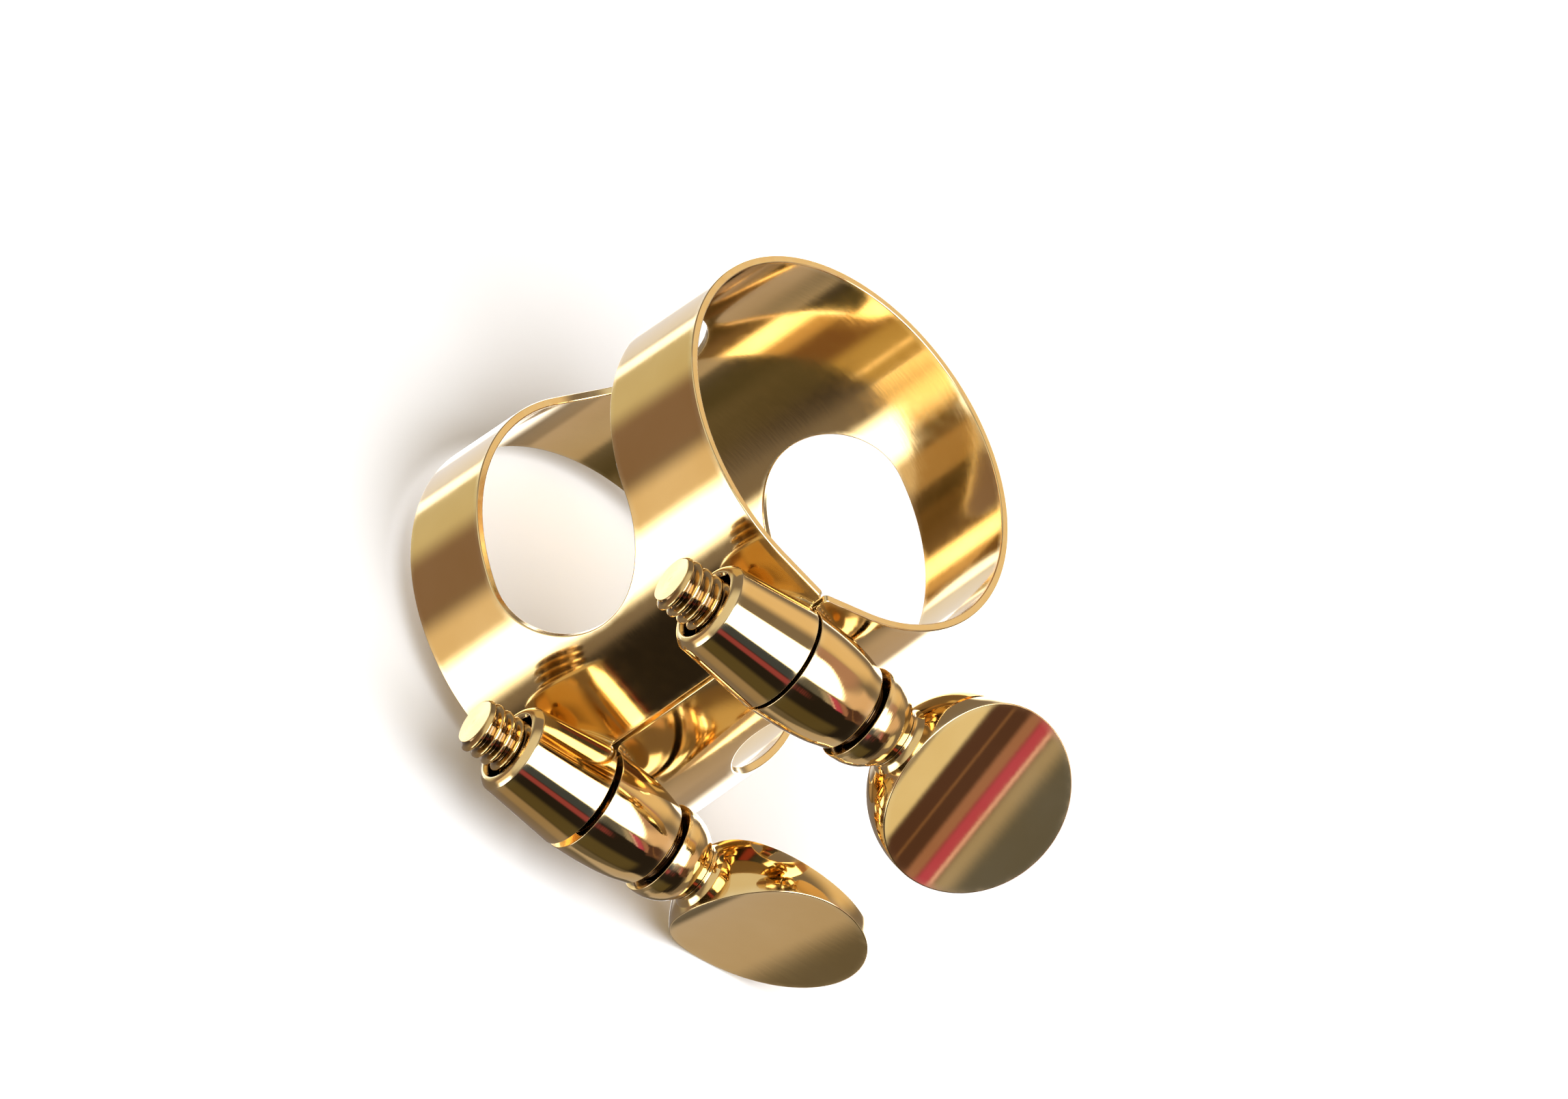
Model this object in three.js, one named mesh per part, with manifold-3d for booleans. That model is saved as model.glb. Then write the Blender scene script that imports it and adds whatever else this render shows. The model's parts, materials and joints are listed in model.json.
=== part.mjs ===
// Two-screw saxophone ligature: a split brass ring that clamps the reed to a mouthpiece.
//
// Millimetres. +Z runs along the ring's bore towards the reed's tip, +X runs along the
// clamp screws towards their finger plates, and the reed side faces -Y. The origin is on
// the bore axis, in the plane of the ring's rear rim. The ring is drawn clamped, with the
// split ends of its posts almost touching.

import * as THREE from 'three';
import { mergeVertices } from 'three/addons/utils/BufferGeometryUtils.js';
import Module from 'manifold-3d';

const wasm = await Module();
wasm.setup();

// ---- driving dimensions -------------------------------------------------------------

const RING_LENGTH = 24.4;
const REAR_RADIUS = 12.8; // outside the wall, at the rear rim
const FRONT_RADIUS = 12.0; // outside the wall, at the front rim
const WALL = 0.5;
const FLANK_ANGLE = 15; // degrees each side of the slit where the wall runs straight
const SLIT_WIDTH = 0.5;
const SPINE_GAP = 0.3; // between the two halves of the ring, along the back

const WINDOW_REAR = 6.0; // the window's rear edge, which is also the rear band's width
const WINDOW_FRONT = 17.5;
const WINDOW_FOOT = 29; // degrees round from the slit to the window's lower end
const WINDOW_HEAD = 158; // degrees round from the slit to the window's upper end
const WINDOW_END = 24.5; // degrees taken up by each rounded end

const POST_STANDOFF = 2.45; // screw axis above the ridge beside the slit
const POST_RADIUS = 3.3; // at the split between the two posts of a pair
const POST_BORE = 1.95;
const POST_BEVEL = 0.1; // broken edge at the split
const SADDLE_GAP = 0.1; // braze line between a post and the ring

// The posts' outlines beyond that edge, as [radius, distance from the middle of the split].
// The threaded one is a cone with a short bevel and a countersink; the other is a bullet.
const THREADED_OUTLINE = [
  [2.74, 5.2],
  [2.46, 5.5],
  [2.22, 5.6],
  [2.1, 5.6],
  [POST_BORE, 5.35],
];
const CLEARANCE_OUTLINE = [
  [3.22, 2.2],
  [3.02, 3.9],
  [2.76, 5.05],
  [2.5, 5.25],
  [POST_BORE, 5.25],
];

const THREAD_RADIUS = 1.65;
const THREAD_ROOT = 1.3;
const THREAD_PITCH = 0.7;
const THREAD_FLAT = 0.1; // width of a crest, and of a root
const THREAD_LEAD = 0.35; // chamfer at the screw's tip
const SCREW_TIP = -8.05;
const GROOVES_END = -5.1; // just inside the threaded post; the shank beyond is plain
const COLLAR_END = 8.3;

// The domed collar, as [radius, x], from the shoulder that bears on the clearance post.
const COLLAR_OUTLINE = [
  [THREAD_RADIUS, 5.5],
  [2.3, 5.5],
  [2.3, 5.68],
  [2.8, 5.68],
  [2.9, 5.83],
  [2.84, 6.6],
  [2.56, 7.45],
  [2.15, 8.1],
  [1.9, COLLAR_END],
];

const NECK_RADIUS = 1.9;
const NECK_REACH = 9.8; // where the neck ends, inside the plate
const NECK_GAP = 0.05; // braze line between a collar and its finger plate
const PLATE_CENTRE = 14.45;
const PLATE_RADIUS = 5.9;
const PLATE_EDGE = 0.4; // half the plate's thickness at its free edge
const PLATE_HOLLOW = 0.24; // how far the faces swing out towards the neck
const PLATE_FLARE = 3.2; // how late they do so
const PLATE_OVERRUN = 1.1; // how far the cut faces run, in plate radii, to pass the ball
const PLATE_STEPS = 22; // points along each face

// The two pairs of posts: where they stand, how far apart, and how the plate is turned.
const STATIONS = [
  { name: 'front', z: 21.3, split: 0.24, turn: -37 },
  { name: 'rear', z: 4.25, split: 0.44, turn: 8.8 },
];

const ROUND_SEGMENTS = 32;
const RING_SEGMENTS = 60;
const OVERCUT = 5; // how far a cutting solid reaches past what it cuts

// ---- helpers ------------------------------------------------------------------------

const radians = THREE.MathUtils.degToRad;

function ringRadius(z) {
  return THREE.MathUtils.lerp(REAR_RADIUS, FRONT_RADIUS, z / RING_LENGTH);
}

function screwHeight(z) {
  return -(ringRadius(z) / Math.cos(radians(FLANK_ANGLE)) + POST_STANDOFF);
}

function toSolid(geometry) {
  const bare = geometry.clone();
  bare.deleteAttribute('normal');
  bare.deleteAttribute('uv');
  const merged = mergeVertices(bare, 1e-4);
  return new wasm.Manifold(
    new wasm.Mesh({
      numProp: 3,
      vertProperties: merged.attributes.position.array,
      triVerts: new Uint32Array(merged.index.array),
    }),
  );
}

function toGeometry(solid) {
  const mesh = solid.getMesh();
  const geometry = new THREE.BufferGeometry();
  geometry.setAttribute('position', new THREE.BufferAttribute(new Float32Array(mesh.vertProperties), 3));
  geometry.setIndex(new THREE.BufferAttribute(new Uint32Array(mesh.triVerts), 1));
  geometry.computeVertexNormals();
  return geometry;
}

// A round piece turned about X, from a profile of [radius, x] points.
function turned(profile) {
  const points = profile.map(([radius, x]) => new THREE.Vector2(radius, x));
  return new THREE.LatheGeometry(points, ROUND_SEGMENTS).rotateZ(-Math.PI / 2);
}

function block(x0, x1, y0, y1, z0, z1) {
  const geometry = new THREE.BoxGeometry(Math.abs(x1 - x0), y1 - y0, z1 - z0);
  return geometry.translate((x0 + x1) / 2, (y0 + y1) / 2, (z0 + z1) / 2);
}

// ---- ring ---------------------------------------------------------------------------

// The outline round the bore: a circle whose two ends leave it on tangents, to meet in a
// low ridge at the slit.
function ringOutline(radius, path) {
  const ridge = radius / Math.cos(radians(FLANK_ANGLE));
  path.absarc(0, 0, radius, radians(FLANK_ANGLE - 90), radians(270 - FLANK_ANGLE), false);
  path.lineTo(0, -ridge);
  path.closePath();
  return path;
}

function taper(geometry) {
  const position = geometry.attributes.position;
  for (let i = 0; i < position.count; i += 1) {
    const scale = ringRadius(position.getZ(i)) / REAR_RADIUS;
    position.setX(i, position.getX(i) * scale);
    position.setY(i, position.getY(i) * scale);
  }
  return geometry;
}

function extrudeAlongBore(shape) {
  const options = { depth: RING_LENGTH, bevelEnabled: false, curveSegments: RING_SEGMENTS };
  return taper(new THREE.ExtrudeGeometry(shape, options));
}

function ringWall() {
  const shape = ringOutline(REAR_RADIUS, new THREE.Shape());
  shape.holes.push(ringOutline(REAR_RADIUS - WALL, new THREE.Path()));
  return toSolid(extrudeAlongBore(shape));
}

// What a post's foot is cut by, so that it sits on the ring with a thin braze line.
function saddleCutter() {
  return toSolid(extrudeAlongBore(ringOutline(REAR_RADIUS + SADDLE_GAP, new THREE.Shape())));
}

// A rounded end of a window: an oval drill that enters along the ring's radius.
function windowEnd(angle) {
  const halfWidth = (WINDOW_FRONT - WINDOW_REAR) / 2;
  const middle = (WINDOW_FRONT + WINDOW_REAR) / 2;
  const halfLength = ringRadius(middle) * radians(WINDOW_END);
  const drill = new THREE.CylinderGeometry(1, 1, 2 * OVERCUT, ROUND_SEGMENTS);
  drill.scale(halfLength, 1, halfWidth);
  drill.translate(0, -ringRadius(middle), 0);
  drill.rotateZ(radians(-angle));
  return toSolid(drill.translate(0, 0, middle));
}

// The window in the half at -X, as one solid to cut with.
function windowCutter() {
  const foot = WINDOW_FOOT + WINDOW_END;
  const head = WINDOW_HEAD - WINDOW_END;
  const sector = new THREE.Shape();
  sector.absarc(0, 0, REAR_RADIUS + OVERCUT, radians(-90 - foot), radians(-90 - head), true);
  sector.absarc(0, 0, FRONT_RADIUS - OVERCUT, radians(-90 - head), radians(-90 - foot), false);
  sector.closePath();
  const options = { depth: WINDOW_FRONT - WINDOW_REAR, bevelEnabled: false };
  const middle = new THREE.ExtrudeGeometry(sector, options).translate(0, 0, WINDOW_REAR);
  return toSolid(middle).add(windowEnd(foot)).add(windowEnd(head));
}

// One half of the ring, from the slit round to the spine. Side is -1 for the half at -X.
// Both cutting blocks reach from a little past the middle over the whole other half.
function bandHalf(side) {
  const reach = REAR_RADIUS + OVERCUT;
  const rear = -OVERCUT;
  const front = RING_LENGTH + OVERCUT;
  const slit = (side * SLIT_WIDTH) / 2;
  const spine = (side * SPINE_GAP) / 2;
  const otherSlit = block(slit, -side * reach, -reach, 0, rear, front);
  const otherSpine = block(spine, -side * reach, -OVERCUT, reach, rear, front);
  const window = side < 0 ? windowCutter() : windowCutter().mirror([1, 0, 0]);
  const half = ringWall().subtract(toSolid(otherSlit)).subtract(toSolid(otherSpine));
  return toGeometry(half.subtract(window));
}

// ---- posts --------------------------------------------------------------------------

// A post turned about X, widest at the split. Side is -1 for the threaded one, 1 for the
// one that the screw passes through.
function post(station, outline, side) {
  const start = station.split / 2;
  const profile = [
    [POST_BORE, start],
    [POST_RADIUS - POST_BEVEL, start],
    [POST_RADIUS, start + POST_BEVEL],
    ...outline,
    [POST_BORE, start],
  ].map(([radius, x]) => [radius, side * x]);
  return turned(side < 0 ? profile.reverse() : profile);
}

function seated(geometry, station) {
  const placed = geometry.translate(0, screwHeight(station.z), station.z);
  return toGeometry(toSolid(placed).subtract(saddleCutter()));
}

// ---- thumbscrews --------------------------------------------------------------------

// The threaded shank, grooved with rings where it stands out of its post, and the domed
// collar that bears on the clearance post.
function screwProfile() {
  const profile = [[0, SCREW_TIP], [THREAD_ROOT, SCREW_TIP]];
  for (let x = SCREW_TIP + THREAD_LEAD; x < GROOVES_END; x += THREAD_PITCH) {
    const root = x + THREAD_PITCH / 2;
    profile.push([THREAD_RADIUS, x]);
    profile.push([THREAD_RADIUS, x + THREAD_FLAT]);
    profile.push([THREAD_ROOT, root]);
    profile.push([THREAD_ROOT, root + THREAD_FLAT]);
  }
  profile.push([THREAD_RADIUS, GROOVES_END + THREAD_PITCH]);
  profile.push(...COLLAR_OUTLINE);
  profile.push([0, COLLAR_END]);
  return profile;
}

// The finger plate: a ball on a short neck, with two hollow faces that leave it thick
// beside the neck and thin at its free edge.
function fingerPlate(station) {
  const ball = new THREE.SphereGeometry(PLATE_RADIUS, ROUND_SEGMENTS, ROUND_SEGMENTS / 2);
  ball.rotateZ(-Math.PI / 2).translate(PLATE_CENTRE, 0, 0);

  const start = COLLAR_END + NECK_GAP;
  const neckLength = NECK_REACH - start;
  const neck = new THREE.CylinderGeometry(NECK_RADIUS, NECK_RADIUS, neckLength, ROUND_SEGMENTS);
  neck.rotateZ(-Math.PI / 2).translate(start + neckLength / 2, 0, 0);

  const upper = [];
  const lower = [];
  for (let i = 0; i <= PLATE_STEPS; i += 1) {
    const u = PLATE_OVERRUN * ((2 * i) / PLATE_STEPS - 1);
    const x = PLATE_CENTRE + PLATE_RADIUS * u;
    const half = PLATE_EDGE + PLATE_HOLLOW * Math.max(1 - u, 0) ** PLATE_FLARE;
    upper.push(new THREE.Vector2(x, half));
    lower.unshift(new THREE.Vector2(x, -half));
  }
  const options = { depth: 3 * PLATE_RADIUS, bevelEnabled: false };
  const faces = new THREE.ExtrudeGeometry(new THREE.Shape(upper.concat(lower)), options);
  faces.translate(0, 0, -options.depth / 2);

  return toGeometry(toSolid(ball).intersect(toSolid(faces)).add(toSolid(neck)));
}

// ---- assembly -----------------------------------------------------------------------

function lacqueredBrass(color, roughness) {
  return new THREE.MeshStandardMaterial({ color, roughness, metalness: 1 });
}

function named(name, geometry, material) {
  const mesh = new THREE.Mesh(geometry, material);
  mesh.name = name;
  return mesh;
}

const group = new THREE.Group();
group.add(named('band_left', bandHalf(-1), lacqueredBrass(0xd2ac5c, 0.12)));
group.add(named('band_right', bandHalf(1), lacqueredBrass(0xd2ac5c, 0.12)));

for (const station of STATIONS) {
  const threaded = seated(post(station, THREADED_OUTLINE, -1), station);
  const clearance = seated(post(station, CLEARANCE_OUTLINE, 1), station);
  group.add(named(`post_${station.name}_threaded`, threaded, lacqueredBrass(0xc99f4e, 0.1)));
  group.add(named(`post_${station.name}_clearance`, clearance, lacqueredBrass(0xc99f4e, 0.1)));

  const thumbscrew = new THREE.Group();
  thumbscrew.position.set(0, screwHeight(station.z), station.z);
  thumbscrew.rotation.x = radians(station.turn);
  const screw = turned(screwProfile());
  thumbscrew.add(named(`screw_${station.name}`, screw, lacqueredBrass(0xc8a050, 0.15)));
  thumbscrew.add(named(`plate_${station.name}`, fingerPlate(station), lacqueredBrass(0xcaa24f, 0.08)));
  group.add(thumbscrew);
}

export default group;
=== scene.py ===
import json
import math

import bpy
from mathutils import Matrix, Vector, geometry


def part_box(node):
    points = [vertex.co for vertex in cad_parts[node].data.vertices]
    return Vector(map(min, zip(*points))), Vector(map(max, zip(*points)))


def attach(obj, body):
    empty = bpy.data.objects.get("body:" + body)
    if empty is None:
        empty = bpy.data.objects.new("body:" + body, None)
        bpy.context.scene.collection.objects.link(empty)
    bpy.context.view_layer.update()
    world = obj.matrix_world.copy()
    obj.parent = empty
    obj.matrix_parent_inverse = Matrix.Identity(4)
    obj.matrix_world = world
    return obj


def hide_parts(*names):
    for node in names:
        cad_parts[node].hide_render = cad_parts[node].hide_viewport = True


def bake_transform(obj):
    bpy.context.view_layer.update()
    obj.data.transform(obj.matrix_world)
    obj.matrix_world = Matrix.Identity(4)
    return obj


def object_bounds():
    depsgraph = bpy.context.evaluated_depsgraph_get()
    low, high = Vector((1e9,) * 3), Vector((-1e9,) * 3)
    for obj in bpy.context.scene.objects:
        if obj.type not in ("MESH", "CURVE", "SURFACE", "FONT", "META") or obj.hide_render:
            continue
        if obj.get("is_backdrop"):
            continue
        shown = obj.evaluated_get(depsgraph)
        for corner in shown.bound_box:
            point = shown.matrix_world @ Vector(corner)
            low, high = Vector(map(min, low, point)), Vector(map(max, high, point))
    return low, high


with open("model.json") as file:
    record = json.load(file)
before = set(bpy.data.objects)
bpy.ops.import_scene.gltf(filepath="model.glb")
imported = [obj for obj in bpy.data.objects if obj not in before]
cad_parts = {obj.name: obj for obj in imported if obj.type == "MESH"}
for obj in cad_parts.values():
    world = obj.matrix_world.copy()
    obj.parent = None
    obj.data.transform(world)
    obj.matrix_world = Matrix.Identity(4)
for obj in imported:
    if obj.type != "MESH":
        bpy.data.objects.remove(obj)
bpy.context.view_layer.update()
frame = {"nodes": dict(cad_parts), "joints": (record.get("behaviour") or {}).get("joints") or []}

# A two-screw saxophone ligature in lacquered brass. The ring's bore is Z, the screws run
# along X, and the reed side faces -Y.

MM = 0.001

# ---- driving dimensions, from the frame where it states them ------------------------------


def node_box(node):
    """Lowest and highest corner of a CAD node, in millimetres."""
    low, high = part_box(node)
    return low / MM, high / MM


def widest_at_top(node):
    """Largest distance from the bore's axis, along X, among a node's highest vertices."""
    top = node_box(node)[1].z
    points = [v.co / MM for v in frame["nodes"][node].data.vertices]
    return max(abs(p.x) for p in points if p.z > top - 0.01)


RING_LENGTH = node_box("band_left")[1].z
REAR_RADIUS = -node_box("band_left")[0].x
FRONT_RADIUS = widest_at_top("band_left")
WALL = 0.5
SHEARED_EDGE = 0.09  # radius broken on the sheet's edges
FLANK_ANGLE = math.radians(15)  # each side of the slit the wall runs straight
FLANK = REAR_RADIUS * math.tan(FLANK_ANGLE)
HALF_GIRTH = FLANK + REAR_RADIUS * (math.pi - FLANK_ANGLE)
SLIT = -node_box("band_left")[1].x  # half the slit's width
SLIT_CORNER = 0.3

WINDOW_REAR = 6.0
WINDOW_FRONT = 17.5
WINDOW_FOOT = math.radians(53.5)  # centres of the rounded ends, round from the slit
WINDOW_HEAD = math.radians(133.5)
WINDOW_END = math.radians(24.5)

POST_BORE = 1.95
POST_RADIUS = 3.3
POST_CORNER = 0.06  # radius broken on the posts' edges
CONE_RADIUS = 2.74  # where a threaded post's cone ends and its bevel begins
BEVEL_LENGTH = 0.4
COUNTERSINK = (0.25, 2.1)  # depth, and radius at the mouth
BULLET_RADIUS = 2.74  # where a clearance post's bullet meets its rounded lip
LIP = 0.2
BRAZE = 0.45  # reach of the fillet at a post's foot
SINK = 0.2  # the deepest that a post's foot lies in the ring's wall

THREAD_RADIUS = 1.65
THREAD_ROOT = 1.3
THREAD_PITCH = 0.7
THREAD_RUN = 3.4  # length of thread that is cut in full, from the tip
THREAD_STEP = 0.04  # between rows of vertices along the thread
TIP_RADIUS = 1.42  # of the screw's flat end
SHOULDER = 5.5  # the collar's shoulder that bears on the clearance post
SHOULDER_RADIUS = 2.05
SHOULDER_LENGTH = 0.18
TURNED_SCREW = 96  # vertices round a screw and a plate's neck

NECK_RADIUS = 1.9
NECK_FLARE = 0.35  # where the neck runs into the plate
PLATE_RADIUS = 5.9
PLATE_EDGE = 0.4
PLATE_HOLLOW = 0.24
PLATE_FLARE = 3.2

STATIONS = ("front", "rear")

ROUND = 128  # vertices round a post
FINE = 0.25  # longest step along an outline
WEAR = 0.5  # how far wear reaches from an edge


def ring_radius(z):
    return REAR_RADIUS + (FRONT_RADIUS - REAR_RADIUS) * z / RING_LENGTH


def ring_skin(x, z):
    """Height in Y of the ring's outside near the slit."""
    radius = ring_radius(z)
    if abs(x) < radius * math.sin(FLANK_ANGLE):
        return -radius / math.cos(FLANK_ANGLE) + abs(x) * math.tan(FLANK_ANGLE)
    return -math.sqrt(radius**2 - x**2)


def screw_axis(station):
    """A point on the screw's axis, in millimetres, from the frame's joint."""
    joint = next(j for j in frame["joints"] if j["name"] == f"{station}_screw_turn")
    return Vector(joint["pos_m"]) / MM


def plate_turn(station):
    """How far the finger plate is turned about X, from the largest facet of its CAD solid towards +Y."""
    polygons = frame["nodes"][f"plate_{station}"].data.polygons
    flat = max((p for p in polygons if p.normal.y > 0.5), key=lambda p: p.area)
    return math.atan2(flat.normal.z, flat.normal.y)


# ---- mesh helpers --------------------------------------------------------------------------


class Shell:
    """Vertices with normals of their own, their wear and painted shade (1 on a rubbed edge, down
    to -1 where shade is painted dark into a recess) and their place along a turning tool's path, and
    faces."""

    def __init__(self):
        self.points = []
        self.normals = []
        self.wear_and_shade = []
        self.lathe = []
        self.faces = []

    def add(self, point, normal, wear_and_shade=0.0, lathe=0.0):
        self.points.append(Vector(point))
        self.normals.append(Vector(normal).normalized())
        self.wear_and_shade.append(wear_and_shade)
        self.lathe.append(lathe)
        return len(self.points) - 1

    def join(self, row, next_row, closed=True):
        """Quads between two rows of vertices; a row of one vertex makes a fan."""
        count = max(len(row), len(next_row))
        for i in range(count if closed else count - 1):
            j = (i + 1) % count
            corners = [row[i % len(row)], row[j % len(row)]]
            corners += [next_row[j % len(next_row)], next_row[i % len(next_row)]]
            face = list(dict.fromkeys(corners))
            if len(face) > 2:
                self.faces.append(face)

    def skin(self, rows, closed=True):
        for row, next_row in zip(rows, rows[1:]):
            self.join(row, next_row, closed)

    def place(self, matrix):
        turn = matrix.to_3x3()
        self.points = [matrix @ p for p in self.points]
        self.normals = [turn @ n for n in self.normals]

    def mirror_x(self):
        self.place(Matrix.Scale(-1, 4, (1, 0, 0)))
        self.faces = [face[::-1] for face in self.faces]

    def absorb(self, other):
        start = len(self.points)
        self.points += other.points
        self.normals += other.normals
        self.wear_and_shade += other.wear_and_shade
        self.lathe += other.lathe
        self.faces += [[start + i for i in face] for face in other.faces]
        return start


def make_piece(name, shell, material):
    """A mesh object in metres, with the shell's own normals and its two attributes."""
    mesh = bpy.data.meshes.new(name)
    mesh.from_pydata([p * MM for p in shell.points], [], shell.faces)
    mesh.polygons.foreach_set("use_smooth", [True] * len(mesh.polygons))
    # the wear attribute also carries painted shade, as values below 0
    mesh.attributes.new("wear_and_shade", "FLOAT", "POINT").data.foreach_set("value", shell.wear_and_shade)
    mesh.attributes.new("lathe", "FLOAT", "POINT").data.foreach_set("value", shell.lathe)
    mesh.normals_split_custom_set_from_vertices([tuple(n) for n in shell.normals])
    mesh.materials.append(material)
    piece = bpy.data.objects.new(name, mesh)
    bpy.context.scene.collection.objects.link(piece)
    return piece


def tangents(points):
    """Unit tangents along one smooth stretch of an outline."""
    last = len(points) - 1
    ends = [(points[max(i - 1, 0)], points[min(i + 1, last)]) for i in range(last + 1)]
    return [(b - a).normalized() for a, b in ends]


def outline(stretches, corner=0.07, steps=4):
    """(point, tangent, wear) along smooth stretches, each a list of (x, radius), with the
    corners between them rounded off and no step longer than FINE."""
    line = []
    corners = []
    smooth = [[Vector(p) for p in stretch] for stretch in stretches]
    directions = [tangents(stretch) for stretch in smooth]
    for i, stretch in enumerate(smooth):
        points = [p.copy() for p in stretch]
        if i > 0:
            points[0] += directions[i][0] * corner
        if i < len(smooth) - 1:
            points[-1] -= directions[i][-1] * corner
        for j, point in enumerate(points):
            if j > 0:
                gap = (point - points[j - 1]).length
                pieces = max(1, math.ceil(gap / FINE))
                for k in range(1, pieces):
                    share = k / pieces
                    between = points[j - 1].lerp(point, share)
                    tangent = directions[i][j - 1].lerp(directions[i][j], share)
                    line.append((between, tangent.normalized()))
            line.append((point, directions[i][j]))
        if i < len(smooth) - 1:
            knee = stretch[-1]
            corners.append(knee)
            start = points[-1]
            end = knee + directions[i + 1][0] * corner
            for k in range(1, steps):
                share = k / steps
                a = start.lerp(knee, share)
                b = knee.lerp(end, share)
                line.append((a.lerp(b, share), (b - a).normalized()))
    return [(p, t, wear_at(p, corners)) for p, t in line]


def wear_at(point, corners):
    nearest = min(((point - c).length for c in corners), default=WEAR)
    return max(0.0, 1 - nearest / WEAR) ** 1.5


def paint_recess_shade(line, start, end, radius):
    """An outline with painted shade, a dark base colour for the shade in a recess, wherever it runs
    below a radius between two places along X.
    """
    return [(p, t, -1.0 if start < p.x < end and p.y < radius else w) for p, t, w in line]


def turned(line, segments=ROUND):
    """A surface turned about X from an outline whose material lies to the right of its way."""
    shell = Shell()
    rows = []
    for (x, radius), (dx, dr), wear_and_shade in line:
        if radius < 1e-6:
            rows.append([shell.add((x, 0, 0), (-dr, 0, 0), wear_and_shade, x)])
            continue
        row = []
        for i in range(segments):
            angle = 2 * math.pi * i / segments
            c, s = math.cos(angle), math.sin(angle)
            normal = (-dr, dx * c, dx * s)
            row.append(shell.add((x, radius * c, radius * s), normal, wear_and_shade, x + radius))
        rows.append(row)
    shell.skin(rows)
    return shell, rows


def arc(centre, size, start, end, steps):
    """Points (x, radius) on an arc of a size, with its angles in degrees."""
    out = []
    for i in range(steps + 1):
        angle = math.radians(start + (end - start) * i / steps)
        out.append((centre[0] + size * math.cos(angle), centre[1] + size * math.sin(angle)))
    return out


# ---- ring ----------------------------------------------------------------------------------


def girth(angle):
    """Distance round the rear rim from the ridge at the slit, for an angle round the bore."""
    return FLANK + REAR_RADIUS * (angle - FLANK_ANGLE)


def on_ring(side, along, z):
    """Point on the ring's outside, and the unit vectors round it, along it and out of it."""
    if along <= FLANK:
        angle = FLANK_ANGLE
        x = along * math.cos(angle)
        y = -REAR_RADIUS / math.cos(angle) + along * math.sin(angle)
    else:
        angle = FLANK_ANGLE + (along - FLANK) / REAR_RADIUS
        x = REAR_RADIUS * math.sin(angle)
        y = -REAR_RADIUS * math.cos(angle)
    scale = ring_radius(z) / REAR_RADIUS
    slope = (FRONT_RADIUS - REAR_RADIUS) / RING_LENGTH
    out = Vector((side * math.sin(angle), -math.cos(angle), -slope)).normalized()
    around = Vector((side * math.cos(angle), math.sin(angle), 0))
    upward = out.cross(around) * side
    return Vector((side * x * scale, y * scale, z)), around, upward, out


def slit_half_width(z):
    return SLIT * REAR_RADIUS / ring_radius(z)


def rim_loop(long_steps, short_steps, corner_steps=6):
    """The half ring's outer edge, unrolled: rear rim, slit, front rim, spine. Each point is
    (girth, z), and the two corners at the slit are rounded."""
    rear = corner_points(slit_half_width(0), 0, 1, corner_steps)
    front = corner_points(slit_half_width(RING_LENGTH), RING_LENGTH, -1, corner_steps)
    middle = corner_steps // 2
    rear_run = line_points((HALF_GIRTH, 0), rear[0], long_steps - middle)
    slit_run = line_points(rear[-1], front[-1], short_steps - 2 * middle)
    front_run = line_points(front[0], (HALF_GIRTH, RING_LENGTH), long_steps - middle)
    spine_run = line_points((HALF_GIRTH, RING_LENGTH), (HALF_GIRTH, 0), short_steps)
    return rear_run + rear[:-1] + slit_run + front[::-1][:-1] + front_run + spine_run


def corner_points(along, z, way, steps):
    """A rounded corner of the unrolled sheet at the slit, from its rim to the slit."""
    centre = (along + SLIT_CORNER, z + way * SLIT_CORNER)
    out = []
    for i in range(steps + 1):
        angle = math.pi / 2 * i / steps
        sideways = SLIT_CORNER * math.sin(angle)
        lengthways = SLIT_CORNER * math.cos(angle)
        out.append((centre[0] - sideways, centre[1] - way * lengthways))
    return out


def line_points(start, end, steps):
    """Points from start up to, but without, end."""
    return [
        (start[0] + (end[0] - start[0]) * i / steps, start[1] + (end[1] - start[1]) * i / steps)
        for i in range(steps)
    ]


def window_loop(long_steps, short_steps):
    """The window's edge, unrolled, in the same order as rim_loop."""
    rear, front = WINDOW_REAR, WINDOW_FRONT
    foot, head = girth(WINDOW_FOOT), girth(WINDOW_HEAD)
    rear_run = line_points((head, rear), (foot, rear), long_steps)
    front_run = line_points((foot, front), (head, front), long_steps)
    foot_end = window_end(WINDOW_FOOT, -1, short_steps)
    head_end = window_end(WINDOW_HEAD, 1, short_steps)[::-1]
    return rear_run + foot_end[:-1] + front_run + head_end[:-1]


def window_end(centre, way, steps):
    """A rounded end of the window, from its rear edge to its front edge."""
    middle = (WINDOW_REAR + WINDOW_FRONT) / 2
    half_width = (WINDOW_FRONT - WINDOW_REAR) / 2
    half_length = ring_radius(middle) * WINDOW_END
    out = []
    for i in range(steps + 1):
        angle = math.pi * i / steps
        z = middle - half_width * math.cos(angle)
        swing = math.asin(half_length * math.sin(angle) / ring_radius(z))
        out.append((girth(centre + way * swing), z))
    return out


def outward(loop, i, hole):
    """Unit vector in the unrolled sheet that points off its edge at point i of a loop."""
    before, after = Vector(loop[i - 1]), Vector(loop[(i + 1) % len(loop)])
    run = (after - before).normalized()
    off = Vector((-run.y, run.x))
    return -off if hole else off


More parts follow.
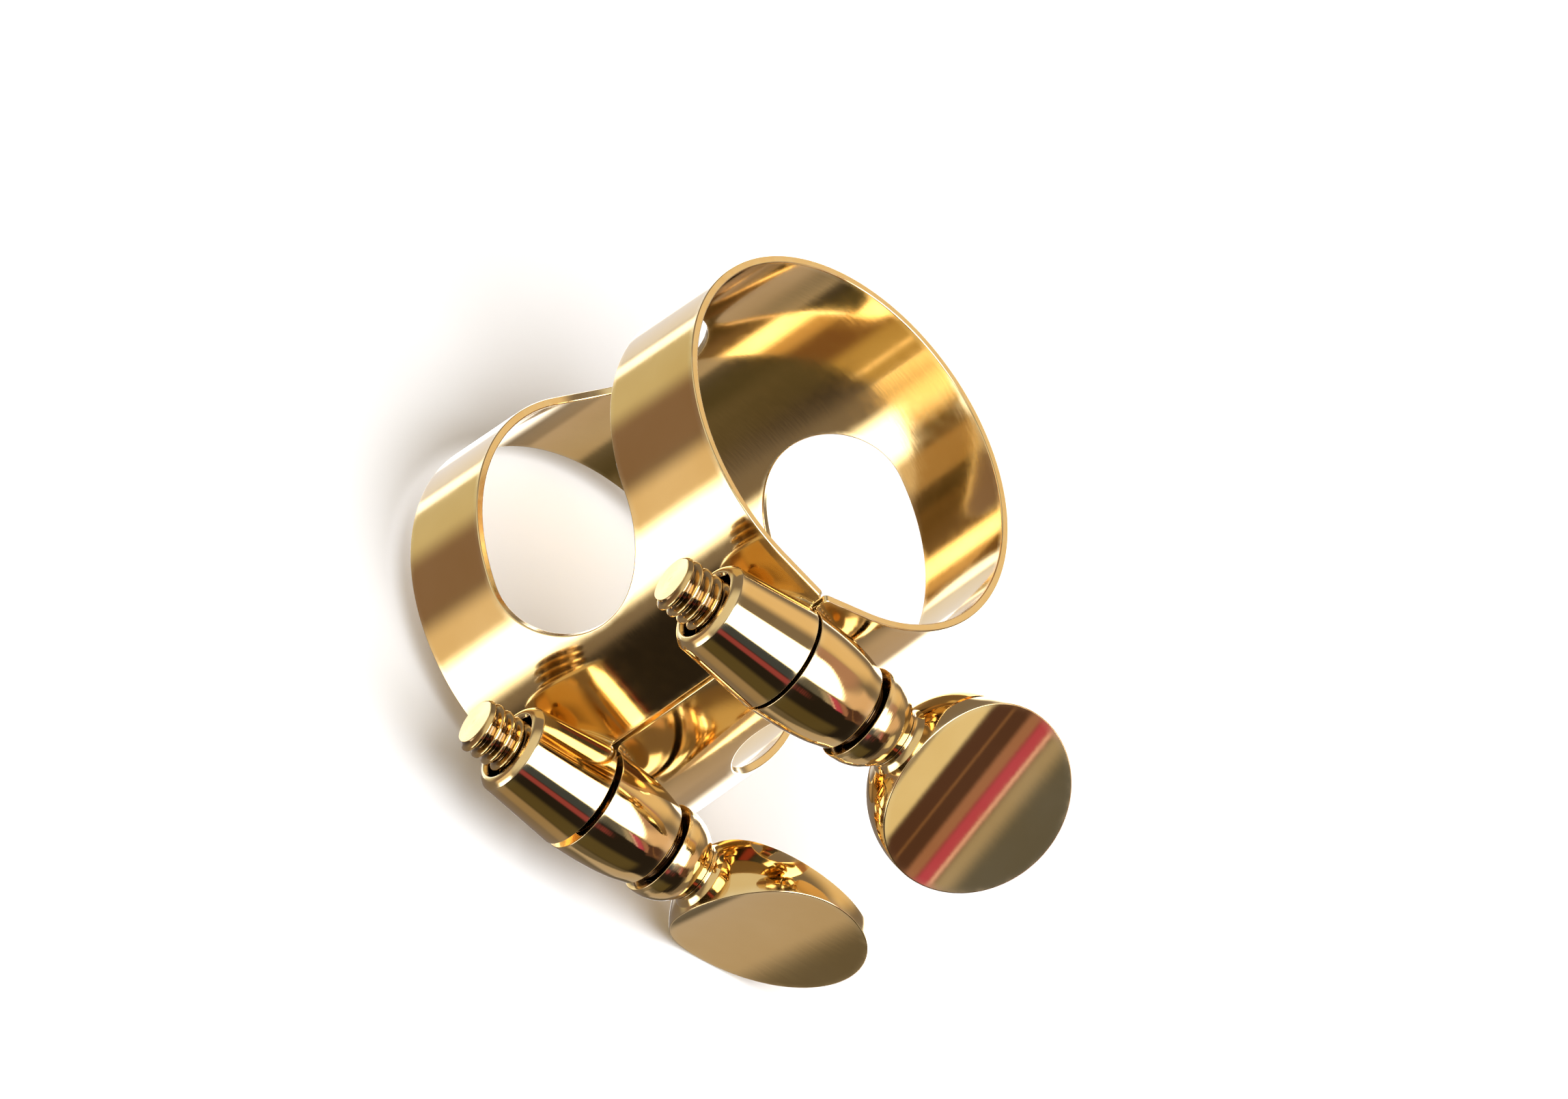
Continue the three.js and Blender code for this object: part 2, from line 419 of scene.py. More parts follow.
def sheet_edge(shell, side, place, off):
    """One vertex row over the sheet's sheared edge, from its outside to its inside."""
    along, z = place
    wall = WALL * ring_radius(z) / REAR_RADIUS
    point, around, upward, out = on_ring(side, along, z)
    sideways = around * off.x + upward * off.y
    quarter = [math.pi / 2 * i / 3 for i in range(4)]
    row = []
    for angle in quarter:
        inset = SHEARED_EDGE * (math.sin(angle) - 1)
        depth = SHEARED_EDGE * (1 - math.cos(angle))
        normal = sideways * math.sin(angle) + out * math.cos(angle)
        row.append(shell.add(point + sideways * inset - out * depth, normal, 1.0))
    for angle in reversed(quarter):
        inset = SHEARED_EDGE * (math.sin(angle) - 1)
        depth = wall - SHEARED_EDGE * (1 - math.cos(angle))
        normal = sideways * math.sin(angle) - out * math.cos(angle)
        row.append(shell.add(point + sideways * inset - out * depth, normal, 1.0))
    return row


def spine_index(count, short_steps):
    """Which points of a rim loop lie on the spine, including both its ends."""
    return set(range(count - short_steps, count)) | {0}


def half_ring(shell, side, spine, long_steps=104, short_steps=44, rings=16):
    """Half of the sheet, as rings of vertices between its window and its outer edge. Spine
    holds the vertices that the two halves share."""
    window = window_loop(long_steps, short_steps)
    rim = rim_loop(long_steps, short_steps)
    count = len(rim)
    on_spine = spine_index(count, short_steps)
    skins = {"out": [], "in": []}
    window_edge = []
    rim_edge = []
    for i in range(count):
        window_edge.append(sheet_edge(shell, side, window[i], outward(window, i, True)))
        end = i in on_spine and rim[i][1] in (0, RING_LENGTH)
        if i in on_spine and not end:
            rim_edge.append(spine_pair(shell, side, rim[i], spine))
        elif end:
            rim_edge.append(spine_corner(shell, side, rim[i], spine))
        else:
            rim_edge.append(sheet_edge(shell, side, rim[i], outward(rim, i, False)))
    for k in range(1, rings):
        share = k / rings
        for name, deep in (("out", 0.0), ("in", WALL)):
            row = []
            for i in range(count):
                along = window[i][0] + (rim[i][0] - window[i][0]) * share
                z = window[i][1] + (rim[i][1] - window[i][1]) * share
                point, _around, _upward, out = on_ring(side, along, z)
                depth = deep * ring_radius(z) / REAR_RADIUS
                facing = out if deep == 0 else -out
                row.append(shell.add(point - out * depth, facing, 0.0))
            skins[name].append(row)
    outer = [[e[0] for e in window_edge]] + skins["out"] + [[e[0] for e in rim_edge]]
    inner = [[e[-1] for e in window_edge]] + skins["in"] + [[e[-1] for e in rim_edge]]
    first_face = len(shell.faces)
    shell.skin(outer)
    shell.skin([row[::-1] for row in inner])
    shell.skin([list(column)[::-1] for column in zip(*window_edge)])
    for i in range(count):
        j = (i + 1) % count
        if i in on_spine and j in on_spine:
            continue
        for a in range(len(rim_edge[i]) - 1):
            shell.faces.append([rim_edge[i][a], rim_edge[j][a], rim_edge[j][a + 1], rim_edge[i][a + 1]])
    if side < 0:
        shell.faces[first_face:] = [face[::-1] for face in shell.faces[first_face:]]


def spine_pair(shell, side, place, spine):
    """The two vertices, outside and inside, that both halves share on the spine."""
    if place[1] not in spine:
        along, z = place
        point, _around, _upward, out = on_ring(side, along, z)
        depth = WALL * ring_radius(z) / REAR_RADIUS
        spine[z] = [shell.add(point, out, 0.0), shell.add(point - out * depth, -out, 0.0)]
    return spine[place[1]]


def spine_corner(shell, side, place, spine):
    """The row over the sheared edge where a rim crosses the spine, shared by both halves."""
    if place[1] not in spine:
        off = Vector((0, -1 if place[1] == 0 else 1))
        spine[place[1]] = sheet_edge(shell, side, place, off)
    return spine[place[1]]


def ring():
    shell = Shell()
    spine = {}
    half_ring(shell, 1, spine)
    half_ring(shell, -1, spine)
    return shell


# ---- posts ---------------------------------------------------------------------------------


def threaded_outline(start, end):
    """From inside the bore, over the split face, the barrel and its bevel, to the recess at
    the end and back into the bore. Distances are measured away from the split."""
    middle = (start + end) / 2
    bevel = end - BEVEL_LENGTH
    depth, mouth = COUNTERSINK
    return [
        [(middle, POST_BORE), (start, POST_BORE)],
        [(start, POST_BORE), (start, POST_RADIUS)],
        [(start, POST_RADIUS), (bevel, CONE_RADIUS)],
        curve([(bevel, CONE_RADIUS), (end - 0.1, 2.47), (end, 2.24)], steps=3),
        [(end, 2.24), (end, mouth)],
        [(end, mouth), (end - depth, POST_BORE)],
        [(end - depth, POST_BORE), (middle, POST_BORE)],
    ]


def clearance_outline(start, end):
    """From inside the bore, over the split face and the bullet, and back into the bore."""
    middle = (start + end) / 2
    lip = BULLET_RADIUS - LIP
    return [
        [(middle, POST_BORE), (start, POST_BORE)],
        [(start, POST_BORE), (start, POST_RADIUS)],
        curve([(start, POST_RADIUS), (2.2, 3.22), (3.9, 3.02), (end - LIP, BULLET_RADIUS)]),
        arc((end - LIP, lip), LIP, 90, 0, 3),
        [(end, lip), (end, POST_BORE)],
        [(end, POST_BORE), (middle, POST_BORE)],
    ]


def curve(points, steps=8):
    """A smooth stretch through a few (x, radius) points."""
    knots = [Vector((x, r, 0)) for x, r in points]
    slopes = tangents(knots)
    out = []
    for i in range(len(knots) - 1):
        length = (knots[i + 1] - knots[i]).length / 3
        a = knots[i] + slopes[i] * length
        b = knots[i + 1] - slopes[i + 1] * length
        samples = geometry.interpolate_bezier(knots[i], a, b, knots[i + 1], steps)
        out += [(p.x, p.y) for p in samples[: -1 if i < len(knots) - 2 else None]]
    return out


def seat(shell, rows, axis):
    """Beds a post in the ring's wall, with a small fillet of braze along each side of it."""
    moved = set()
    for i, point in enumerate(shell.points):
        gap = ring_skin(point.x, point.z) - point.y
        if gap > BRAZE:
            continue
        moved.add(i)
        rise = 1 - max(gap, 0.0) / BRAZE
        flare = BRAZE * (1 - math.sqrt(1 - rise**2))
        point.z += math.copysign(flare, point.z - axis.z)
        depth = point.y - ring_skin(point.x, point.z)
        if depth > 0:
            point.y += SINK * depth / (SINK + depth) - depth
    refit_normals(shell, rows, moved)


def refit_normals(shell, rows, moved):
    """Normals of moved vertices, from their neighbours in the grid of rows."""
    for r, row in enumerate(rows):
        for c, i in enumerate(row):
            if i not in moved:
                continue
            before = rows[max(r - 1, 0)][c]
            after = rows[min(r + 1, len(rows) - 1)][c]
            along = shell.points[after] - shell.points[before]
            across = shell.points[row[(c + 1) % len(row)]] - shell.points[row[c - 1]]
            normal = along.cross(across)
            if normal.length > 1e-9:
                normal.normalize()
                if normal.dot(shell.normals[i]) < 0:
                    normal.negate()
                shell.normals[i] = normal


def post(station, kind):
    """A post on its axis, then bedded in the ring."""
    low, high = node_box(f"post_{station}_{kind}")
    threaded = kind == "threaded"
    start, end = (-high.x, -low.x) if threaded else (low.x, high.x)
    stretches = threaded_outline(start, end) if threaded else clearance_outline(start, end)
    line = outline(stretches, corner=POST_CORNER)[:-1]
    # painted shade in the recess at the post's outer end and in its bore there
    shell, rows = turned(paint_recess_shade(line, end - 0.45, end + 0.1, 2.0 if threaded else 2.45))
    shell.skin([rows[-1], rows[0]])
    if threaded:
        shell.mirror_x()
    axis = screw_axis(station)
    shell.place(Matrix.Translation(axis))
    seat(shell, rows, axis)
    return shell


# ---- thumbscrews ---------------------------------------------------------------------------


def thread_radius(x, angle, tip):
    """Radius of the screw at x: a right-hand thread that fades out past its run, behind a
    chamfered tip."""
    turns = (x - tip) / THREAD_PITCH - angle / (2 * math.pi)
    off_crest = abs(turns - round(turns)) * 2
    flank = min(max((off_crest - 0.12) / 0.72, 0.0), 1.0)
    groove = flank**2 * (3 - 2 * flank)
    fade = min(max((x - tip - THREAD_RUN) / THREAD_PITCH, 0.0), 1.0)
    radius = THREAD_RADIUS - (THREAD_RADIUS - THREAD_ROOT) * groove * (1 - fade)
    return min(radius, TIP_RADIUS + x - tip)


def threaded_shank(tip, segments=TURNED_SCREW):
    """The cut part of the shank, with its faced end, and the last row to build on."""
    shell = Shell()
    rows = [[shell.add((tip, 0, 0), (-1, 0, 0), 0.0, tip)]]
    for share in (0.2, 0.4, 0.6, 0.8, 0.97):
        rows.append(shank_row(shell, tip, tip, segments, share))
    faced = len(rows)
    for i in range(1, int((THREAD_RUN + THREAD_PITCH) / THREAD_STEP) + 1):
        x = tip + i * THREAD_STEP
        rows.append(shank_row(shell, x, tip, segments))
    shell.skin(rows)
    refit_normals(shell, rows, {i for row in rows[faced:-1] for i in row})
    return shell, rows[-1]


def shank_row(shell, x, tip, segments, share=1.0):
    """A row round the screw. A share below 1 puts it within the faced end, facing -X."""
    faced = share < 1
    row = []
    for i in range(segments):
        angle = 2 * math.pi * i / segments
        c, s = math.cos(angle), math.sin(angle)
        reach = share * thread_radius(x, angle, tip)
        normal = (-1, 0, 0) if faced else (0, c, s)
        depth = min((THREAD_RADIUS - reach) / (THREAD_RADIUS - THREAD_ROOT), 1.0)
        # painted shade: the deeper a point lies in the thread's groove, the darker it is painted
        wear_and_shade = 0.0 if faced else -(depth**2)
        row.append(shell.add((x, reach * c, reach * s), normal, wear_and_shade, x + reach))
    return row


def collar_outline(shank_start, end):
    """Plain shank, bearing shoulder, flange, dome, and the flat where the neck begins."""
    flange = SHOULDER + SHOULDER_LENGTH
    edge = flange + 0.25
    dome = curve([(edge, 2.88), (edge + 0.7, 2.82), (edge + 1.5, 2.54), (end, NECK_RADIUS)])
    return [
        [(shank_start, THREAD_RADIUS), (SHOULDER, THREAD_RADIUS)],
        [(SHOULDER, THREAD_RADIUS), (SHOULDER, SHOULDER_RADIUS)],
        [(SHOULDER, SHOULDER_RADIUS), (flange, SHOULDER_RADIUS)],
        [(flange, SHOULDER_RADIUS), (flange, 2.86)],
        [(flange, 2.86), (edge, 2.88)],
        dome,
        [(end, NECK_RADIUS), (end, 0.0)],
    ]


def thumbscrew(station):
    """The screw: threaded shank and domed collar, in its place."""
    low, high = node_box(f"screw_{station}")
    tip, end = low.x, high.x
    shell, last = threaded_shank(tip)
    start = shell.points[last[0]].x + THREAD_STEP
    line = outline(collar_outline(start, end), corner=0.05)
    # painted shade over the plain shank, the shoulder and the flange's foot, where the collar meets the
    # post
    collar, rows = turned(paint_recess_shade(line, start, SHOULDER + 0.25, 2.65), TURNED_SCREW)
    offset = shell.absorb(collar)
    shell.skin([last, [offset + i for i in rows[0]]])
    shell.place(Matrix.Translation(screw_axis(station)))
    return shell


# ---- finger plates -------------------------------------------------------------------------


def plate_face(x):
    """Height of the plate's hollow face at x from the ball's centre, and its slope."""
    u = min(x / PLATE_RADIUS, 1.0)
    height = PLATE_EDGE + PLATE_HOLLOW * (1 - u) ** PLATE_FLARE
    slope = -PLATE_HOLLOW * PLATE_FLARE * (1 - u) ** (PLATE_FLARE - 1) / PLATE_RADIUS
    return height, slope


def plate_reach(angle):
    """How far from the centre the hollow face meets the ball, in a direction."""
    low, high = 0.0, PLATE_RADIUS
    for _ in range(40):
        middle = (low + high) / 2
        height, _slope = plate_face(middle * math.cos(angle))
        if middle**2 + height**2 < PLATE_RADIUS**2:
            low = middle
        else:
            high = middle
    return low


def plate_ball(segments=160, rings=28, edge=0.07):
    """The ball between its two hollow faces, about its own centre, as one closed skin."""
    shell = Shell()
    rows = []
    tops = [shell.add((0, plate_face(0)[0] * t, 0), (-plate_face(0)[1], t, 0)) for t in (1, -1)]
    columns = []
    for i in range(segments):
        angle = 2 * math.pi * i / segments
        columns.append(plate_column(angle, rings, edge))
    for k in range(len(columns[0])):
        rows.append([shell.add(*column[k]) for column in columns])
    shell.skin([[tops[0]]] + rows + [[tops[1]]])
    return shell


def plate_column(angle, rings, edge):
    """One line of (point, normal, wear) from the middle of a face over the rim to the other."""
    c, s = math.cos(angle), math.sin(angle)
    reach = plate_reach(angle)
    half = []
    for k in range(1, rings + 1):
        r = (reach - edge) * k / rings
        half.append(face_point(r, c, s, reach))
    height, _slope = plate_face(reach * c)
    tilt = math.asin(height / PLATE_RADIUS)
    drop = edge / PLATE_RADIUS
    start = half[-1]
    low = tilt - drop
    finish = ball_point(low, c, s, 1.0)
    knee = Vector((reach * c, height, reach * s))
    for k in range(1, 4):
        share = k / 4
        a = Vector(start[0]).lerp(knee, share)
        b = knee.lerp(Vector(finish[0]), share)
        normal = Vector(start[1]).normalized().lerp(Vector(finish[1]).normalized(), share)
        half.append((a.lerp(b, share), normal, 1.0))
    steps = 7
    for k in range(steps):
        lean = low * (1 - k / steps)
        away = PLATE_RADIUS * (low - lean)
        half.append(ball_point(lean, c, s, max(0.0, 1 - away / WEAR) ** 1.5))
    below = [(mirror_y(p), mirror_y(n), w) for p, n, w in reversed(half)]
    return half + [ball_point(0.0, c, s, 0.0)] + below


def face_point(r, c, s, reach):
    height, slope = plate_face(r * c)
    wear_and_shade = max(0.0, 1 - (reach - r) / WEAR) ** 1.5
    return (r * c, height, r * s), (-slope, 1, 0), wear_and_shade


def ball_point(lean, c, s, wear_and_shade):
    out = Vector((math.cos(lean) * c, math.sin(lean), math.cos(lean) * s))
    return out * PLATE_RADIUS, out, wear_and_shade


def mirror_y(v):
    return Vector((v[0], -v[1], v[2]))


def neck(start, end):
    """The waist between collar and ball, flaring a little into the ball."""
    flare = NECK_RADIUS + NECK_FLARE
    waist = curve([(start, NECK_RADIUS), (start + 0.25, NECK_RADIUS - 0.06), (end, flare)])
    ends = [[(start, 0.0), (start, NECK_RADIUS)], waist, [(end, flare), (end, 0.0)]]
    shell, _rows = turned(outline(ends, corner=0.03), TURNED_SCREW)
    return shell


def finger_plate(station):
    """The plate with its neck, turned about the screw's axis and in its place."""
    low, high = node_box(f"plate_{station}")
    centre = high.x - PLATE_RADIUS
    shell = plate_ball()
    shell.place(Matrix.Translation((centre, 0, 0)))
    meet = centre - math.sqrt(PLATE_RADIUS**2 - (NECK_RADIUS + NECK_FLARE) ** 2)
    shell.absorb(neck(low.x, meet + 0.1))
    turn = Matrix.Rotation(plate_turn(station), 4, "X")
    shell.place(Matrix.Translation(screw_axis(station)) @ turn)
    return shell


# ---- materials -----------------------------------------------------------------------------


def brass(name, roughness, marks, scratch):
    """Polished brass under clear lacquer: slow tone drift, tool marks, worn edges, and painted shade
    (a dark base colour) in the recesses. Marks makes the fine relief, and scratch is how deep it shows."""
    material = bpy.data.materials.new(name)
    material.use_nodes = True
    nodes, links = material.node_tree.nodes, material.node_tree.links
    shader = nodes["Principled BSDF"]
    shader.inputs["Metallic"].default_value = 1.0
    shader.inputs["Coat Weight"].default_value = 0.5
    shader.inputs["Coat Roughness"].default_value = 0.03
    shader.inputs["Coat IOR"].default_value = 1.5

    place = nodes.new("ShaderNodeTexCoord").outputs["Object"]
    wear_and_shade = nodes.new("ShaderNodeAttribute")
    wear_and_shade.attribute_name = "wear_and_shade"

    drift = noise(nodes, links, place, DRIFT_SCALE, 3.0)
    tones = nodes.new("ShaderNodeValToRGB")
    tones.color_ramp.elements[0].position = 0.3
    tones.color_ramp.elements[0].color = (*GOLD_DEEP, 1)
    tones.color_ramp.elements[1].position = 0.7
    tones.color_ramp.elements[1].color = (*GOLD, 1)
    links.new(drift, tones.inputs["Fac"])

    scuffs = noise(nodes, links, place, SCUFF_SCALE, 2.0)
    rub = nodes.new("ShaderNodeMath")
    rub.operation = "MULTIPLY"
    rub.use_clamp = True
    links.new(wear_and_shade.outputs["Fac"], rub.inputs[0])
    links.new(scuffs, rub.inputs[1])

    blend = nodes.new("ShaderNodeMix")
    blend.data_type = "RGBA"
    blend.inputs["B"].default_value = (*GOLD_PALE, 1)
    links.new(rub.outputs["Value"], blend.inputs["Factor"])
    links.new(tones.outputs["Color"], blend.inputs["A"])

    # painted shade: where the wear attribute runs below 0 the base colour darkens towards the dark shade
    # colour, standing in for the shade in recesses and thread roots
    shade_amount = nodes.new("ShaderNodeMapRange")
    shade_amount.inputs["From Max"].default_value = -1.0
    shade_amount.inputs["To Max"].default_value = 0.9
    links.new(wear_and_shade.outputs["Fac"], shade_amount.inputs["Value"])
    shaded_colour = nodes.new("ShaderNodeMix")
    shaded_colour.data_type = "RGBA"
    shaded_colour.inputs["B"].default_value = (*PAINTED_SHADE, 1)
    links.new(shade_amount.outputs["Result"], shaded_colour.inputs["Factor"])
    links.new(blend.outputs["Result"], shaded_colour.inputs["A"])
    links.new(shaded_colour.outputs["Result"], shader.inputs["Base Color"])

    smear = nodes.new("ShaderNodeMapRange")
    smear.inputs["To Min"].default_value = roughness * 0.6
    smear.inputs["To Max"].default_value = roughness * 1.5
    links.new(scuffs, smear.inputs["Value"])
    rougher = nodes.new("ShaderNodeMath")
    rougher.operation = "MULTIPLY_ADD"
    rougher.inputs[1].default_value = EDGE_ROUGHNESS
    links.new(rub.outputs["Value"], rougher.inputs[0])
    links.new(smear.outputs["Result"], rougher.inputs[2])
    links.new(rougher.outputs["Value"], shader.inputs["Roughness"])

    bump = nodes.new("ShaderNodeBump")
    bump.inputs["Strength"].default_value = scratch
    bump.inputs["Distance"].default_value = RELIEF
    links.new(marks(nodes, links, place), bump.inputs["Height"])
    links.new(bump.outputs["Normal"], shader.inputs["Normal"])
    return material


def noise(nodes, links, place, scale, detail):
    texture = nodes.new("ShaderNodeTexNoise")
    texture.inputs["Scale"].default_value = scale
    texture.inputs["Detail"].default_value = detail
    links.new(place, texture.inputs["Vector"])
    return texture.outputs["Fac"]


def buffed(scale):
    """Hairlines left by the buffing wheel, drawn out where the scale is least."""

    def marks(nodes, links, place):
        stretch = nodes.new("ShaderNodeMapping")
        stretch.inputs["Scale"].default_value = scale
        links.new(place, stretch.inputs["Vector"])
        return noise(nodes, links, stretch.outputs["Vector"], 1.0, 5.0)

    return marks


def turned_marks(lines_per_mm):
    """Rings left by the lathe, round the piece's own axis and across its faced ends."""

    def marks(nodes, links, place):
        path = nodes.new("ShaderNodeAttribute")
        path.attribute_name = "lathe"
        rings = nodes.new("ShaderNodeTexNoise")
        rings.noise_dimensions = "1D"
        rings.inputs["Scale"].default_value = lines_per_mm
        rings.inputs["Detail"].default_value = 3.0
        links.new(path.outputs["Fac"], rings.inputs["W"])
        return rings.outputs["Fac"]

    return marks


GOLD = (0.87, 0.64, 0.31)
GOLD_DEEP = (0.81, 0.57, 0.24)
GOLD_PALE = (0.94, 0.78, 0.48)
# painted shade: the dark colour laid into recesses and thread roots in place of their shade
PAINTED_SHADE = (0.10, 0.05, 0.02)
EDGE_ROUGHNESS = 0.2  # added where an edge is rubbed bright
DRIFT_SCALE = 180.0  # noise per metre, for the slow change of tone
SCUFF_SCALE = 1400.0
RELIEF = 0.00002  # metres, the height of the tool marks

ring_brass = brass("ring_brass", 0.09, buffed((900, 900, 5000)), 0.05)
post_brass = brass("post_brass", 0.06, turned_marks(9.0), 0.03)
screw_brass = brass("screw_brass", 0.08, turned_marks(14.0), 0.16)
plate_brass = brass("plate_brass", 0.05, buffed((600, 3000, 3000)), 0.04)

# ---- pieces --------------------------------------------------------------------------------

sheet = make_piece("ring_sheet", ring(), ring_brass)
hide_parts("band_left", "band_right")
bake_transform(sheet)

for station in STATIONS:
    for kind, body in (("threaded", "left_half"), ("clearance", "right_half")):
        barrel = make_piece(f"barrel_{station}_{kind}", post(station, kind), post_brass)
        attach(barrel, body)
        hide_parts(f"post_{station}_{kind}")

    screw = make_piece(f"thumbscrew_{station}", thumbscrew(station), screw_brass)
    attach(screw, f"{station}_thumbscrew")
    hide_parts(f"screw_{station}")

    plate = make_piece(f"finger_plate_{station}", finger_plate(station), plate_brass)
    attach(plate, f"{station}_thumbscrew")
    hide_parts(f"plate_{station}")

# ---- studio --------------------------------------------------------------------------------


def camera():
    """The photograph's viewing angle, fitted to the ring's rims and the screws' axes: from the
    reed side, a little round to the screws' tips, and well above the front rim."""
    data = bpy.data.cameras.new("camera")
    data.lens = 124.87
    data.sensor_width = 36.0
    data.clip_start = 0.01
    data.clip_end = 10.0
    view = bpy.data.objects.new("camera", data)
    right = Vector((0.74061, 0.14016, 0.65716))
    up = Vector((-0.53409, 0.71625, 0.44915))
    back = right.cross(up)
    place = Matrix.Translation((-0.12531, -0.21567, 0.20563))
    view.matrix_world = place @ Matrix((right, up, back)).transposed().to_4x4()
    bpy.context.scene.collection.objects.link(view)
    bpy.context.scene.camera = view


def floor():
    """A plain pale floor just under the object, left out of the metal's reflections."""
    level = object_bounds()[0].z - 0.0001
    half = 2.0
    corners = [(-half, -half, level), (half, -half, level), (half, half, level), (-half, half, level)]
    mesh = bpy.data.meshes.new("floor")
    mesh.from_pydata(corners, [], [(0, 1, 2, 3)])
    material = bpy.data.materials.new("floor")
    material.use_nodes = True
    shader = material.node_tree.nodes["Principled BSDF"]
    shader.inputs["Base Color"].default_value = (0.90, 0.92, 0.95, 1)
    shader.inputs["Roughness"].default_value = 0.9
    mesh.materials.append(material)
    plane = bpy.data.objects.new("floor", mesh)
    plane.visible_glossy = False
    bpy.context.scene.collection.objects.link(plane)
    plane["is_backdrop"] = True


def direction(azimuth, elevation):
    """Unit vector towards a place round the object: azimuth 0 is the reed side, 90 is +X."""
    a, e = math.radians(azimuth), math.radians(elevation)
    return Vector((math.sin(a) * math.cos(e), -math.cos(a) * math.cos(e), math.sin(e)))


class Studio:
    """The room that lights the object and shows in the polished metal: panels far away, laid
    over each other on a dim surround. The camera itself sees plain white past the floor."""

    def __init__(self, surround):
        world = bpy.data.worlds.new("studio")
        world.use_nodes = True
        bpy.context.scene.world = world
        self.nodes = world.node_tree.nodes
        self.links = world.node_tree.links
        self.ray = self.nodes.new("ShaderNodeTexCoord").outputs["Generated"]
        self.light = self.nodes.new("ShaderNodeRGB").outputs["Color"]
        self.light.default_value = (*surround, 1)

    def math(self, operation, *inputs):
        node = self.nodes.new("ShaderNodeMath")
        node.operation = operation
        self.feed(node, inputs)
        return node.outputs["Value"]

    def feed(self, node, inputs):
        for socket, value in zip(node.inputs, inputs):
            if isinstance(value, bpy.types.NodeSocket):
                self.links.new(value, socket)
            else:
                socket.default_value = value

    def along(self, axis):
        node = self.nodes.new("ShaderNodeVectorMath")
        node.operation = "DOT_PRODUCT"
        self.feed(node, (self.ray, axis))
        return node.outputs["Value"]

    def inside(self, reach, half, blur):
        """1 where the reach is less than half, falling softly to 0 across the blur."""
        node = self.nodes.new("ShaderNodeMapRange")
        node.interpolation_type = "SMOOTHSTEP"
        self.feed(node, (self.math("ABSOLUTE", reach), half + blur, half - blur, 0.0, 1.0))
        return node.outputs["Result"]

    def panel(self, azimuth, elevation, width, height, blur, color, strength=1.0):
        """A flat panel that faces the object, its half sizes given at unit distance."""
        facing = direction(azimuth, elevation)
        right = direction(azimuth + 90, 0)
        up = right.cross(facing) * -1
        ahead = self.math("MAXIMUM", self.along(facing), 0.001)
        u = self.math("DIVIDE", self.along(right), ahead)
        v = self.math("DIVIDE", self.along(up), ahead)
        mask = self.math("MULTIPLY", self.inside(u, width, blur), self.inside(v, height, blur))
        layer = self.nodes.new("ShaderNodeMix")
        layer.data_type = "RGBA"
        self.links.new(mask, layer.inputs["Factor"])
        self.links.new(self.light, layer.inputs["A"])
        layer.inputs["B"].default_value = (*(c * strength for c in color), 1)
        self.light = layer.outputs["Result"]

    def finish(self):
        path = self.nodes.new("ShaderNodeLightPath")
        seen = self.nodes.new("ShaderNodeMix")
        seen.data_type = "RGBA"
        self.links.new(path.outputs["Is Camera Ray"], seen.inputs["Factor"])
        self.links.new(self.light, seen.inputs["A"])
        seen.inputs["B"].default_value = (1, 1, 1, 1)
        self.links.new(seen.outputs["Result"], self.nodes["Background"].inputs["Color"])


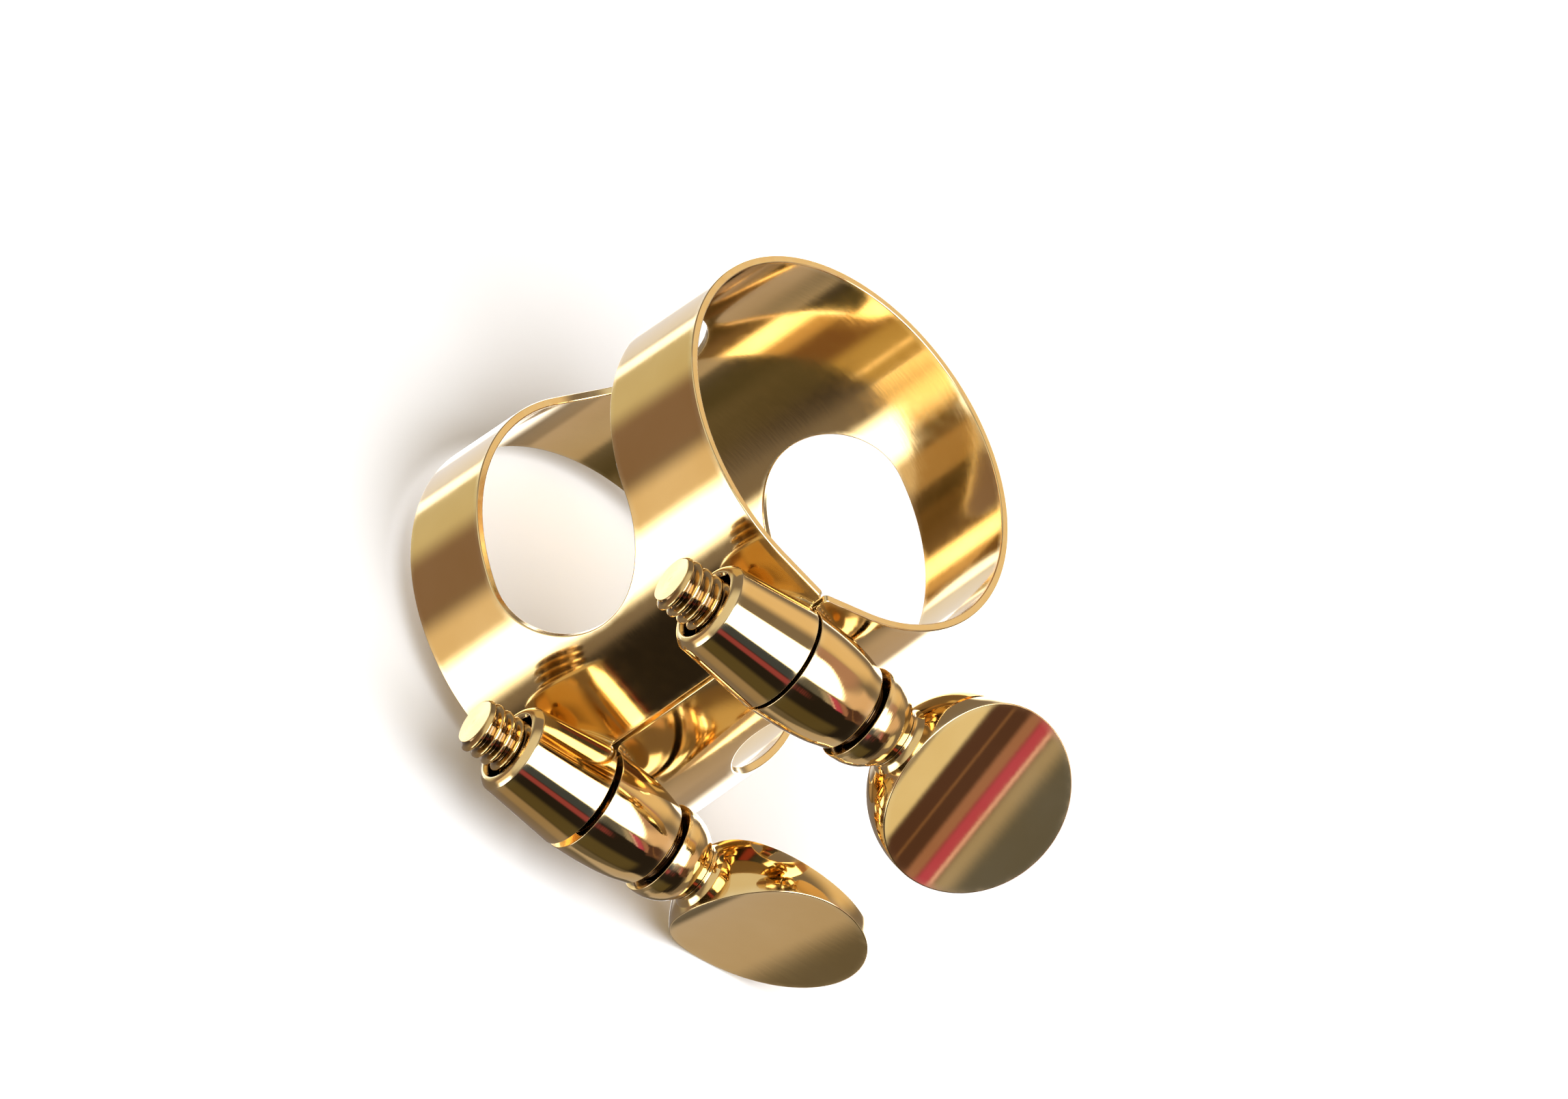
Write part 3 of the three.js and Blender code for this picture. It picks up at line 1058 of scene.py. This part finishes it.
def studio():
    """What the metal mirrors at the camera's angle: white over the object and behind it, dim
    on the camera's side, and coloured stripes. The colours are rounded from those measured in
    the photograph's metal, so this isn't a plain, neutral light."""
    white = (1, 1, 1)
    room = Studio((0.24, 0.20, 0.17))
    # the left, from high up to below the ring
    room.panel(-85, 20, 0.7, 0.8, 0.3, (1.0, 0.94, 0.78), 0.8)
    room.panel(-130, -36, 0.42, 0.35, 0.1, (0.68, 0.62, 0.42))
    room.panel(-98, -36, 0.28, 0.35, 0.12, (0.27, 0.185, 0.14))
    room.panel(-62, -36, 0.2, 0.35, 0.1, (0.88, 0.72, 0.52))
    room.panel(-41, -36, 0.18, 0.3, 0.08, white, 4.0)
    # above and behind on the right
    room.panel(155, 42, 0.5, 0.35, 0.2, (1.0, 0.78, 0.5), 0.9)
    room.panel(72, 37, 0.34, 0.2, 0.12, (0.84, 0.62, 0.48))
    room.panel(90, 57, 0.3, 0.12, 0.06, (0.50, 0.31, 0.27))
    # below on the right
    room.panel(75, -52, 0.6, 0.25, 0.1, (0.15, 0.13, 0.10))
    room.panel(76, -50, 0.25, 0.2, 0.04, (0.53, 0.45, 0.36))
    room.panel(95, -33, 0.28, 0.12, 0.12, (0.55, 0.45, 0.37))
    # the dim side, with the stripes along the posts
    room.panel(22, -6, 0.75, 0.76, 0.08, (0.022, 0.018, 0.016))
    room.panel(28, -28, 0.32, 0.25, 0.1, (0.11, 0.09, 0.042))
    room.panel(16, -56, 0.22, 0.22, 0.1, (0.36, 0.28, 0.19))
    room.panel(8, 28, 0.36, 0.15, 0.03, (0.06, 0.075, 0.11))
    room.panel(8, 13, 0.36, 0.085, 0.04, (0.33, 0.07, 0.09))
    # the stripes across the front finger plate
    room.panel(34, 27, 0.06, 0.12, 0.03, (0.14, 0.145, 0.16))
    room.panel(37.6, 25, 0.03, 0.12, 0.025, (0.44, 0.40, 0.36))
    room.panel(72, 6, 0.13, 0.2, 0.03, (0.87, 0.79, 0.58))
    room.panel(55, 17, 0.15, 0.16, 0.03, (0.10, 0.052, 0.042))
    room.panel(55.5, 17, 0.010, 0.16, 0.01, (0.24, 0.13, 0.08))
    room.panel(46.5, 21, 0.035, 0.14, 0.02, (0.40, 0.21, 0.17))
    room.panel(42.3, 23, 0.034, 0.14, 0.02, (0.56, 0.09, 0.20))
    room.panel(40.2, 24, 0.008, 0.14, 0.008, (0.95, 0.62, 0.70))
    # the white box overhead and the white ground behind
    room.panel(18, 59, 0.5, 0.4, 0.05, white, 6.0)
    room.panel(150, -20, 0.78, 0.42, 0.1, white, 4.0)
    room.panel(-172, -38, 0.2, 0.3, 0.06, (0.90, 0.90, 0.95))
    room.panel(-153, -39, 0.06, 0.3, 0.03, white, 2.2)
    room.finish()


camera()
floor()
studio()
bpy.context.scene.view_settings.view_transform = "Standard"
